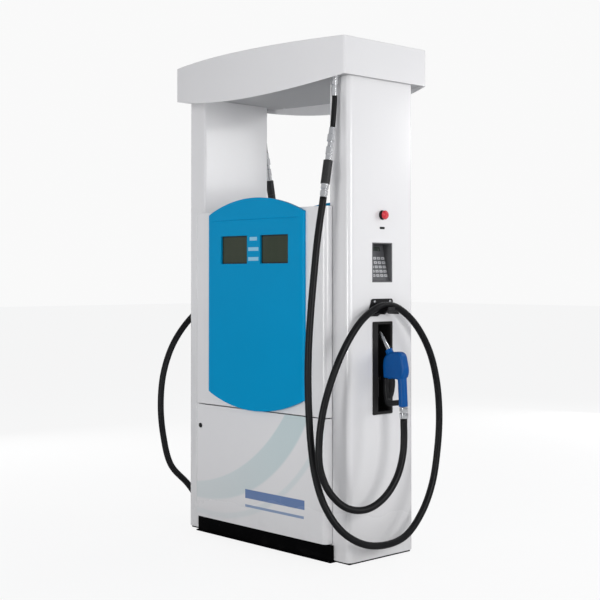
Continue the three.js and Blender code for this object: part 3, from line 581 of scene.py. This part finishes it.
# ------------------------------------------------------------------------------ displays
# Each display is a clear window over a grey-green liquid crystal plate, bordered by a dark mask.
# The unlit digits show faintly, as they do on the real ones when the light falls across them.
window_low, window_high = (Vector(v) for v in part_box("front_right_display"))
window_mid = (window_low + window_high) / 2
mask_half = (0.090, 0.060)
digit_pitch = (0.026, 0.040)

crystal, at, feed = finish("crystal_display", 0.1, Specular_IOR_Level=0.3)
x, _, z = at.parts()
across, upward = x.abs() - window_mid.x, z - window_mid.z
mask = across.within(0, mask_half[0], 0.0012) * upward.within(0, mask_half[1], 0.0012)
a = (across / digit_pitch[0] + 100).fraction() - 0.5
b = (upward / digit_pitch[1] + 100.5).fraction() - 0.5
hole = a.within(0, 0.21, 0.01) * b.within(0, 0.32, 0.01)
ring = a.within(0, 0.30, 0.01) * b.within(0, 0.38, 0.01) * (1 - hole)
bar = a.within(0, 0.24, 0.01) * b.within(0, 0.03, 0.008)
digits = (ring + bar - ring * bar) * across.within(0, 0.078, 0.0002) * upward.within(0, 0.0595, 0.0002)
glow = at.stretched((6, 1, 1)).noise(2.2, 2)
plate = glow.mixed((0.022, 0.036, 0.017), (0.040, 0.048, 0.030))
plate = (digits * 0.25).mixed(plate, (0.020, 0.024, 0.016))
feed(Base_Color=mask.mixed((0.010, 0.016, 0.018), plate), Roughness=0.10 + at.noise(60, 4) * 0.1,
     Normal=at.noise(40, 2).bump(0.0001, 0.1))
for face in FACES:
    for hand in ("left", "right"):
        softened(f"{face}_{hand}_display", f"{face}_{hand}_window", crystal, 0.0006, 2, 50)

# ------------------------------------------------------------------------------ door locks
# A black cam lock near the free edge of each door: a flanged head with a plug that has a round key hole.
black_moulding, at, feed = finish("black_moulding", 0.5, Specular_IOR_Level=0.3)
grain = at.noise(1400, 2)
worn = at.noise(30, 5, 0.6).step(0.5, 0.8)
feed(Base_Color=(worn * 0.6).mixed((0.0085, 0.0085, 0.0095), (0.024, 0.024, 0.026)),
     Roughness=0.42 + worn * 0.12, Normal=grain.bump(0.00012, 0.6))
for face in FACES:
    softened(f"{face}_door_lock", f"{face}_lock_head", black_moulding, 0.0006)
lock_low, lock_high = (Vector(v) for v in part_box("front_door_lock"))
head_radius = 0.0115
lock_place = Vector((lock_high.x - head_radius, lock_low.y, (lock_low.z + lock_high.z) / 2))
plug = turned("front_lock_plug", [(0.0058, -0.002), (0.0058, 0.0006), (0.0052, 0.0010), (0.0022, 0.0010),
                                  (0.0020, -0.0012)], 24)
aimed(plug, lock_place, (0, -1, 0))
other_plug = copied(plug, "rear_lock_plug", half_turn)
for piece, body in ((plug, "front_lock"), (other_plug, "rear_lock")):
    settle(piece, black_moulding, body)

# ------------------------------------------------------------------------------ emergency stops
# A red mushroom button on a black collar, and under it the small black slot of a lamp lens.
stop_red, at, feed = finish("stop_red", 0.25, Coat_Weight=0.5, Coat_Roughness=0.1)
faded = at.noise(60, 4)
feed(Base_Color=faded.mixed((0.52, 0.010, 0.022), (0.66, 0.030, 0.045)), Roughness=0.2 + faded * 0.14,
     Normal=at.noise(900, 2).bump(0.00008, 0.4))
for side in SIDES:
    softened(f"{side}_stop_collar", f"{side}_stop_ring", black_moulding, 0.0012, 3)
    softened(f"{side}_stop_button", f"{side}_stop_head", stop_red, 0.0012, 3, 24)

side_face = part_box("right_pillar")[1][0]
slot_height, slot_proud = 1.473, 0.0006
slot_size = (0.0018, 0.030, 0.010)
slot_rim, slot_deep = 0.0015, 0.0011
bpy.ops.object.select_all(action="DESELECT")
bpy.ops.mesh.primitive_cube_add(size=1, location=(side_face + slot_proud, 0, slot_height))
lens_slot = bpy.context.object
lens_slot.name = lens_slot.data.name = "right_lamp_slot"
lens_slot.scale = slot_size
bpy.ops.object.transform_apply(location=True, rotation=True, scale=True)
bpy.ops.object.mode_set(mode="EDIT")
bpy.ops.mesh.select_all(action="DESELECT")
bpy.ops.object.mode_set(mode="OBJECT")
for face in lens_slot.data.polygons:
    face.select = face.normal.x > 0.9
bpy.ops.object.mode_set(mode="EDIT")
bpy.ops.mesh.inset(thickness=slot_rim)
bpy.ops.mesh.extrude_region_move(TRANSFORM_OT_translate={"value": (-slot_deep, 0, 0)})
bpy.ops.object.mode_set(mode="OBJECT")
round_slot = lens_slot.modifiers.new("rounded", "BEVEL")
round_slot.width, round_slot.segments = 0.0004, 2
settle(lens_slot, black_moulding, "frame")
settle(copied(lens_slot, "left_lamp_slot", half_turn), black_moulding, "frame")

# ------------------------------------------------------------------------------ keypads
# A grey moulded tray sunk in the pillar, with a slanting rubber key mat at its back:
# a readout above, and rows of pale keys with a plain dash on each.
pad_grey, at, feed = finish("pad_tray", 0.45)
grain = at.noise(1100, 2)
feed(Base_Color=at.noise(14, 4).mixed((0.095, 0.096, 0.102), (0.135, 0.136, 0.142)),
     Roughness=0.42 + grain * 0.12, Normal=grain.bump(0.00015, 0.5))
mat_low, mat_high = (Vector(v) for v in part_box("right_keypad_mat"))
mat_lean, mat_rise = 0.042, 0.167
slope = math.atan2(mat_lean, mat_rise)
key_pitch = (0.026, 0.020 * math.cos(slope))
first_row = mat_low.z + 0.022 * math.cos(slope)
readout_drop, readout_half = 0.0175, (0.034, 0.0105)
key_mat, at, feed = finish("key_mat", 0.45)
_, y, z = at.parts()
u = (y / key_pitch[0] + 100).fraction() - 0.5
v = ((z - first_row) / key_pitch[1] + 0.5).fraction() - 0.5
rows = z.within(first_row + 2 * key_pitch[1], 2.5 * key_pitch[1], 0.0005)
keys = u.within(0, 0.385, 0.02) * v.within(0, 0.30, 0.02) * rows
dash = u.within(0, 0.16, 0.015) * v.within(0, 0.06, 0.01) * rows
readout = z.within(mat_high.z - readout_drop, readout_half[1], 0.0005) * y.within(0, readout_half[0], 0.0005)
colour = keys.mixed((0.085, 0.087, 0.094), (0.46, 0.465, 0.48))
colour = dash.mixed(colour, (0.05, 0.052, 0.06))
colour = readout.mixed(colour, (0.040, 0.050, 0.045))
grime = at.noise(55, 5, 0.6).step(0.45, 0.8)
feed(Base_Color=(grime * 0.25).mixed(colour, (0.16, 0.155, 0.15)),
     Roughness=0.42 + grime * 0.15 - readout * 0.25, Normal=at.noise(1300, 2).bump(0.0001, 0.4))
for side in SIDES:
    softened(f"{side}_keypad_housing", f"{side}_keypad_tray", pad_grey, 0.0007)
    softened(f"{side}_keypad_mat", f"{side}_key_mat", key_mat, 0.0008, 3, 45)

# ------------------------------------------------------------------------------ hose hangers
# A pressed steel bracket, dip-coated black, fixed by two bright screws near its top corners.
# Its curved saddle is rubbed smoother where the hose lies, and is painted lighter there as a sheen.
hanger_black, at, feed = finish("hanger_black", 0.45, Specular_IOR_Level=0.3)
x, _, z = at.parts()
# Where the hose lies the coating is smoother, which is real wear, and its colour is lightened there as a
# painted sheen.
rubbed_sheen = x.abs().within(0.605, 0.022, 0.012) * z.step(1.105, 1.112) * at.noise(70, 5).step(0.35, 0.6)
feed(Base_Color=(rubbed_sheen * 0.7).mixed((0.010, 0.010, 0.011), (0.055, 0.055, 0.058)),
     Roughness=0.44 - rubbed_sheen * 0.14, Normal=at.noise(600, 3).bump(0.00018, 0.5))
for side in SIDES:
    softened(f"{side}_hose_hanger", f"{side}_hanger_bracket", hanger_black, 0.0012, 3)
hanger_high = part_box("right_hose_hanger")[1][2]
plate_thick, screw_drop = 0.004, 0.013
hanger_screws = [(side_face + plate_thick, y, hanger_high - screw_drop) for y in (-0.054, 0.046)]
screws("hanger_screw", hanger_screws, (1, 0, 0), 1.1)

# ------------------------------------------------------------------------------ nozzle boots
# A black moulded pocket that holds the nozzle, with a broad rim on the hand's side and a pivoted
# flap at its foot, which the nozzle's guard pushes in.
boot_black, at, feed = finish("boot_black", 0.5, Specular_IOR_Level=0.3)
scrapes = at.stretched((1, 1, 0.12)).noise(140, 6, 0.7).step(0.60, 0.74)
feed(Base_Color=(scrapes * 0.5).mixed((0.0115, 0.0105, 0.0105), (0.045, 0.043, 0.042)),
     Roughness=0.40 + at.noise(25, 4) * 0.2, Normal=at.noise(1000, 2).bump(0.00016, 0.55))
flap_grey, at, feed = finish("flap_grey", 0.4)
feed(Base_Color=at.noise(40, 5).mixed((0.045, 0.045, 0.048), (0.09, 0.09, 0.094)),
     Roughness=0.35 + at.noise(120, 4) * 0.2, Normal=at.noise(800, 2).bump(0.0001, 0.5))
for side in SIDES:
    softened(f"{side}_nozzle_boot", f"{side}_boot_pocket", boot_black, 0.0010, 3)
    softened(f"{side}_boot_flap", f"{side}_flap_plate", flap_grey, 0.0005)

# ------------------------------------------------------------------------------ nozzles
# A die-cast automatic nozzle in a dip-moulded blue vinyl cover, with a drawn steel spout, a black
# lever and hand guard, and a plated swivel between its grip and the hose.
vinyl_blue, at, feed = finish("vinyl_blue", 0.3, Specular_IOR_Level=0.16)
worn = at.noise(26, 5, 0.6)
feed(Base_Color=worn.mixed((0.0006, 0.060, 0.236), (0.0015, 0.086, 0.315)), Roughness=0.26 + worn * 0.16,
     Normal=(at.noise(420, 3) + at.noise(60, 2) * 0.8).bump(0.00035, 0.35))
chrome, at, feed = finish("plated_chrome", 0.14, 1.0)
turning = at.stretched((1, 1, 12)).noise(90, 3)
feed(Base_Color=turning.mixed((0.60, 0.61, 0.63), (0.78, 0.79, 0.80)), Roughness=0.09 + turning * 0.14,
     Normal=turning.bump(0.00006, 0.5))


def moulded(node, name, material, voxel, passes):
    """A copy of a CAD node drawn over like a dipped skin: remeshed finely, then smoothed."""
    piece = merged_copy(node, name)
    skin = piece.modifiers.new("skin", "REMESH")
    skin.mode, skin.voxel_size = "VOXEL", voxel
    smooth = piece.modifiers.new("smooth", "SMOOTH")
    smooth.factor, smooth.iterations = 0.5, passes
    settle(piece, material, body_of[node], 60)
    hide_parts(node)


for side in SIDES:
    moulded(f"{side}_nozzle_body", f"{side}_nozzle_cover", vinyl_blue, 0.0017, 7)
    moulded(f"{side}_nozzle_guard", f"{side}_hand_guard", black_moulding, 0.0016, 4)
    moulded(f"{side}_nozzle_lever", f"{side}_trigger", black_moulding, 0.0012, 3)
    softened(f"{side}_nozzle_spout", f"{side}_spout", chrome, 0.0004)
    softened(f"{side}_nozzle_swivel", f"{side}_swivel", chrome, 0.0006, 2, 50)

# ------------------------------------------------------------------------------ hose fittings
# Under the header a plated outlet with a crimped ferrule; below the whip hose the breakaway coupling,
# whose joint is sheathed in a black sleeve, and then the plated connector of the long hose.
coupling_top = Vector((0.504, -0.252, 1.907))
coupling_way = (Vector((0.502, -0.306, 1.600)) - coupling_top).normalized()
sleeve_span = (0.146, 0.253)

plated, at, feed = finish("plated_fittings", 0.14)
x, y, z = at.parts()
turn = x.sign()
run = (x * turn - coupling_top.x) * coupling_way.x + (y * turn - coupling_top.y) * coupling_way.y \
    + (z - coupling_top.z) * coupling_way.z
sleeve = run.within(sum(sleeve_span) / 2, (sleeve_span[1] - sleeve_span[0]) / 2, 0.0004)
turning = at.stretched((1, 1, 14)).noise(80, 3)
feed(Base_Color=sleeve.mixed(turning.mixed((0.60, 0.61, 0.63), (0.80, 0.81, 0.82)), (0.010, 0.010, 0.011)),
     Metallic=1 - sleeve, Roughness=0.10 + turning * 0.14 + sleeve * 0.3,
     Normal=(turning + sleeve * (run * 900).sine()).bump(0.00008, 0.5))
for side in SIDES:
    softened(f"{side}_hose_outlet", f"{side}_outlet_fitting", plated, 0.0008, 2, 30)
    for node in ("breakaway_coupling", "hose_connector"):
        mesh = nodes[f"{side}_{node}"].data
        mesh.materials.clear()
        mesh.materials.append(plated)

# ------------------------------------------------------------------------------ pumping gear
# Behind the doors a rotary pump and its motor stand on the plinth, joined by a belt, and a meter for
# each hose hangs from the vapour shelf. Castings are enamelled, and the pulleys are bare iron.
def casting(name, low, high, roughness=0.45):
    material, at, feed = finish(name, roughness)
    sand = at.noise(220, 4, 0.6)
    soot = at.noise(6, 5, 0.6).step(0.45, 0.8)
    feed(Base_Color=(soot * 0.6).mixed(low, high), Roughness=roughness + soot * 0.2 - 0.1,
         Normal=sand.bump(0.0006, 0.5))
    return material


cast_grey = casting("cast_grey", (0.20, 0.21, 0.22), (0.13, 0.13, 0.13))
motor_blue = casting("motor_enamel", (0.05, 0.10, 0.17), (0.035, 0.06, 0.10), 0.35)
iron, at, feed = finish("bare_iron", 0.35, 0.9)
rust = at.noise(35, 6, 0.65).step(0.5, 0.75)
feed(Base_Color=rust.mixed((0.16, 0.165, 0.17), (0.12, 0.075, 0.05)), Roughness=0.30 + rust * 0.3,
     Metallic=0.95 - rust * 0.5, Normal=at.noise(300, 3).bump(0.0002, 0.5))
belt_black, at, feed = finish("belt_rubber", 0.6)
weave = at.noise(500, 3)
feed(Base_Color=weave.mixed((0.010, 0.010, 0.010), (0.03, 0.03, 0.03)), Roughness=0.5 + weave * 0.2,
     Normal=weave.bump(0.0002, 0.6))
softened("pump_unit", "pump_casing", cast_grey, 0.004, 3)
softened("electric_motor", "motor_body", motor_blue, 0.003, 3)
softened("pump_pulley", "pump_wheel_pulley", iron, 0.001)
softened("motor_pulley", "motor_wheel_pulley", iron, 0.001)
softened("drive_belt", "belt", belt_black, 0.0008)
for side in SIDES:
    softened(f"{side}_flow_meter", f"{side}_meter", cast_grey, 0.003, 3)
